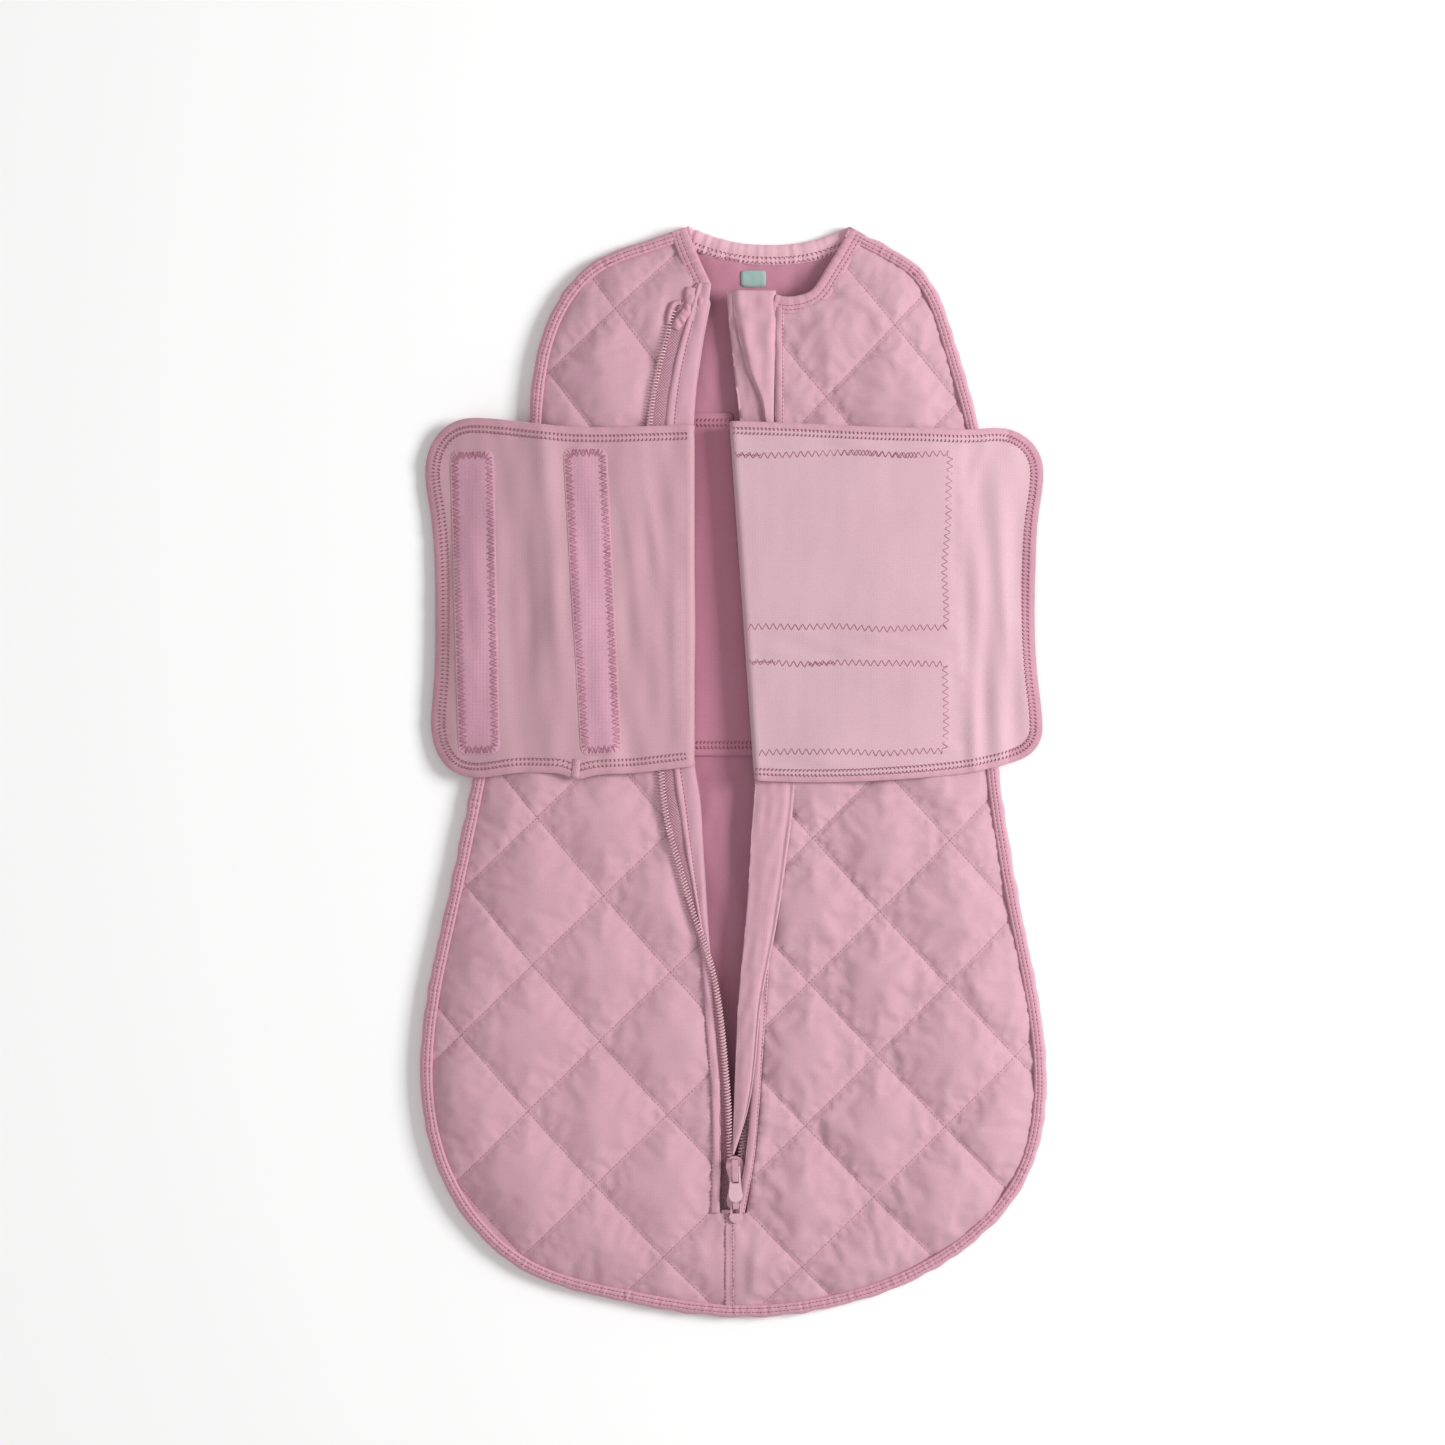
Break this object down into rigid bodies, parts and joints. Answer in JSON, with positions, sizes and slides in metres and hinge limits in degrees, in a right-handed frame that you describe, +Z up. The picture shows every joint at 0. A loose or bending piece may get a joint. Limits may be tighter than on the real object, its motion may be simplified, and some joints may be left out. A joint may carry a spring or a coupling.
{
  "type": "baby sleeping bag",
  "caption": "Quilted baby sleeping bag laid open face up, with a two-way front zipper, a wind guard and two swaddle wings with hook and loop closures.",
  "frame": {"origin": "under the middle of the bag's box, on the surface it lies on", "axes": "+Y from the foot hem to the neck, +X across to the wearer's left, +Z up out of the front"},
  "size_m": [0.403, 0.7015, 0.0251],
  "materials": {
    "quilted_cotton": "soft matte brushed jersey, dusty pink",
    "lining_cotton": "soft matte jersey, dusty pink",
    "batting": "lofty white polyester fill",
    "binding": "matte rib binding with twin needle rows",
    "wing_knit": "smooth matte double knit",
    "hook_tape": "fine moulded hooks on a woven tape",
    "loop_tape": "brushed loop pile",
    "zipper_tape": "woven herringbone tape",
    "zipper_coil": "satin nylon coil",
    "slider_enamel": "satin enamel on die-cast zinc",
    "thread": "polyester sewing thread",
    "snap_resin": "satin resin press studs",
    "label": "plain woven satin, blank"
  },
  "bodies": {
    "root": {"back_outer_panel": "quilted_cotton", "back_batting": "batting", "back_lining": "lining_cotton", "back_neck_binding": "binding", "side_binding": "binding", "left_arm_snaps": "snap_resin", "right_arm_snaps": "snap_resin", "front_left_lining": "lining_cotton", "front_left_batting": "batting", "front_left_outer": "quilted_cotton", "front_left_neck_binding": "binding", "front_right_lining": "lining_cotton", "front_right_batting": "batting", "front_right_outer": "quilted_cotton", "front_right_neck_binding": "binding", "left_placket": "quilted_cotton", "right_placket": "quilted_cotton", "left_facing": "quilted_cotton", "zipper_tape_left": "zipper_tape", "zipper_tape_right": "zipper_tape", "zipper_coil_left": "zipper_coil", "zipper_coil_right": "zipper_coil", "zipper_bottom_stop": "thread", "zipper_garage_tab": "binding", "foot_seam_tape": "quilted_cotton", "zipper_guard": "quilted_cotton", "bar_tacks": "thread", "neck_label": "label", "belt_centre_panel": "wing_knit", "left_belt_riser": "wing_knit", "right_belt_riser": "wing_knit"},
    "left_wing": {"left_wing_panel": "wing_knit", "left_wing_edging": "wing_knit", "hook_strip_outer": "hook_tape", "hook_strip_inner": "hook_tape"},
    "right_wing": {"right_wing_panel": "wing_knit", "right_wing_edging": "wing_knit", "loop_patch_upper": "loop_tape", "loop_patch_lower": "loop_tape"},
    "lower_slider_body": {"lower_slider": "slider_enamel"},
    "upper_slider_body": {"upper_slider": "slider_enamel"},
    "lower_pull_tab": {"lower_pull": "slider_enamel"},
    "upper_pull_tab": {"upper_pull": "slider_enamel"}
  },
  "joints": [
    {"name": "left_wing_fold", "type": "hinge", "parent": "root", "child": "left_wing", "pos_m": [-0.0252, 0.11, 0.0269], "axis": [0, 1, 0], "range_deg": [0, 180]},
    {"name": "right_wing_fold", "type": "hinge", "parent": "root", "child": "right_wing", "pos_m": [0.0136, -0.0044, 0.0252], "axis": [0.069, -0.9976, 0], "range_deg": [0, 180]},
    {"name": "lower_slider_travel", "type": "slide", "parent": "root", "child": "lower_slider_body", "axis": [-0.026, 0.9997, 0], "range_m": [0, 0.1]},
    {"name": "upper_slider_travel", "type": "slide", "parent": "lower_slider_body", "child": "upper_slider_body", "axis": [-0.026, 0.9997, 0], "range_m": [0, 0.42]},
    {"name": "upper_pull_flip", "type": "hinge", "parent": "upper_slider_body", "child": "upper_pull_tab", "pos_m": [0.00089, -0.2528, 0.0227], "axis": [-0.9997, -0.026, 0], "range_deg": [0, 180]},
    {"name": "lower_pull_flip", "type": "hinge", "parent": "lower_slider_body", "child": "lower_pull_tab", "pos_m": [0.00152, -0.27699, 0.0198], "axis": [-0.9997, -0.026, 0], "range_deg": [0, 90]}
  ]
}
